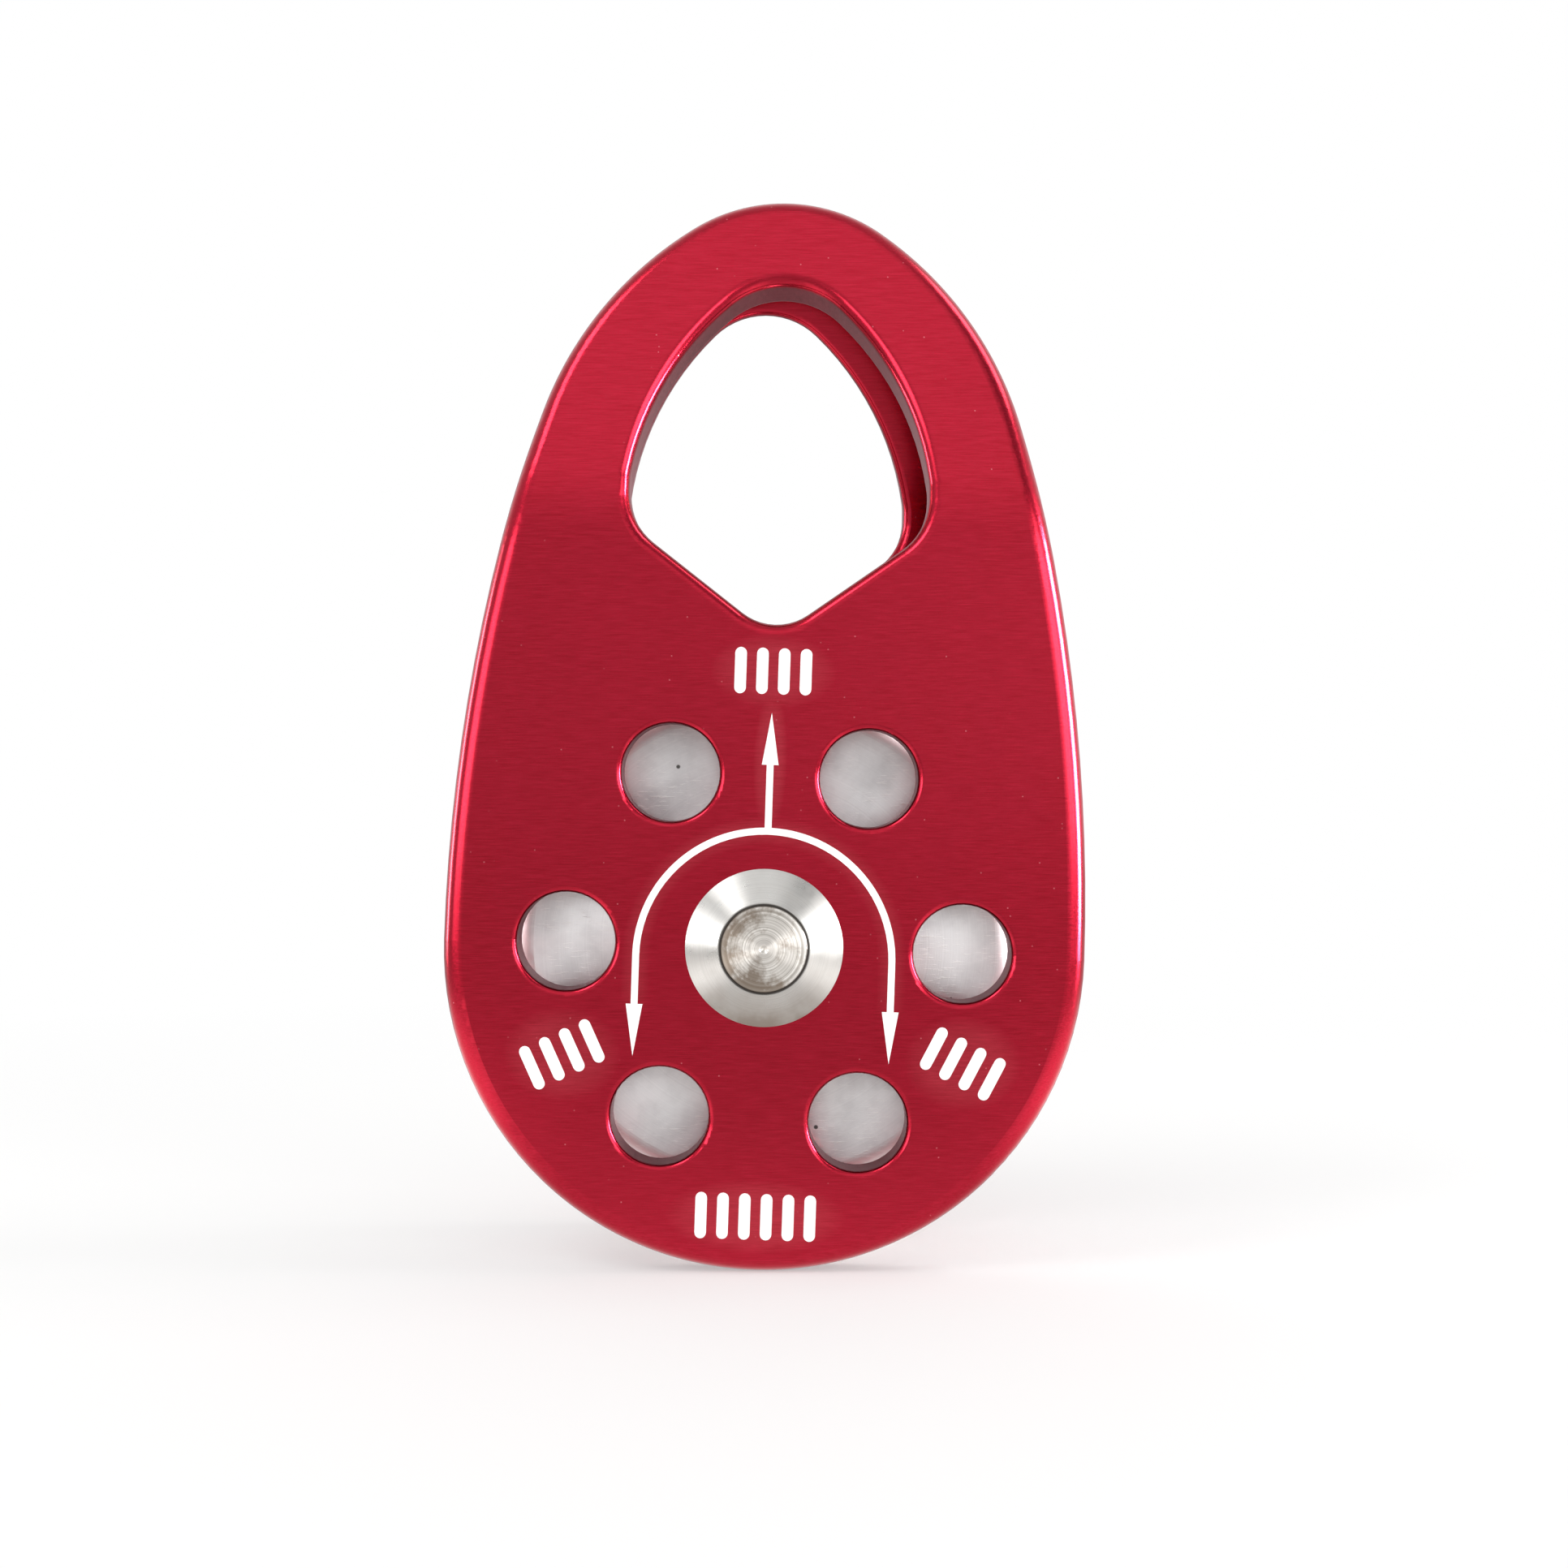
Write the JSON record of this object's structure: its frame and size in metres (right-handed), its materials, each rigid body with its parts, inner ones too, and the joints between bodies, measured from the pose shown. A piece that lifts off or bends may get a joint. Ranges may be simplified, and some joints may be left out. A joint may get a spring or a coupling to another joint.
{
  "type": "swing-cheek rope pulley",
  "caption": "Rope pulley with two swinging red cheeks that meet in a carabiner eye, and a ball-bearing aluminium sheave between them.",
  "frame": {"origin": "on the axle's axis, at the middle of the sheave's width", "axes": "+Z from the axle to the carabiner eye, +Y along the axle from the front cheek to the rear cheek, +X to the right as seen from the front"},
  "size_m": [0.0697, 0.033, 0.1177],
  "materials": {
    "red_anodised": "red anodised over a fine brushed grain",
    "turned_aluminium": "fine turned",
    "collar_steel": "turned",
    "pin_steel": "faced, with a centre dimple",
    "washer_steel": "ground",
    "bearing_steel": "ground",
    "cage_steel": "pressed",
    "ball_steel": "polished",
    "seal_rubber": "moulded"
  },
  "bodies": {
    "rear_cheek": {"rear_cheek": "red_anodised"},
    "axle": {"axle_pin": "pin_steel", "front_collar": "collar_steel", "rear_collar": "collar_steel", "front_washer": "washer_steel", "rear_washer": "washer_steel", "inner_ring_spacer": "washer_steel", "front_inner_ring": "bearing_steel", "rear_inner_ring": "bearing_steel"},
    "front_cheek": {"front_cheek": "red_anodised"},
    "sheave": {"sheave": "turned_aluminium", "front_outer_ring": "bearing_steel", "rear_outer_ring": "bearing_steel", "front_outer_seal": "seal_rubber", "front_inner_seal": "seal_rubber", "rear_inner_seal": "seal_rubber", "rear_outer_seal": "seal_rubber"},
    "front_ball_train": {"front_cage": "cage_steel", "front_balls": "ball_steel"},
    "rear_ball_train": {"rear_cage": "cage_steel", "rear_balls": "ball_steel"}
  },
  "joints": [
    {"name": "axle_in_rear_cheek", "type": "hinge", "parent": "rear_cheek", "child": "axle", "pos_m": [0, 0, 0], "axis": [0, 1, 0], "continuous": true},
    {"name": "front_cheek_swing", "type": "hinge", "parent": "axle", "child": "front_cheek", "pos_m": [0, 0, 0], "axis": [0, 1, 0], "continuous": true},
    {"name": "sheave_spin", "type": "hinge", "parent": "axle", "child": "sheave", "pos_m": [0, 0, 0], "axis": [0, 1, 0], "continuous": true},
    {"name": "front_balls_turn", "type": "hinge", "parent": "axle", "child": "front_ball_train", "pos_m": [0, -0.0045, 0], "axis": [0, 1, 0], "continuous": true},
    {"name": "rear_balls_turn", "type": "hinge", "parent": "axle", "child": "rear_ball_train", "pos_m": [0, 0.0045, 0], "axis": [0, 1, 0], "continuous": true}
  ],
  "couplings": [
    {"joint": "front_balls_turn", "follows": "sheave_spin", "ratio": 0.59922},
    {"joint": "rear_balls_turn", "follows": "sheave_spin", "ratio": 0.59922}
  ]
}
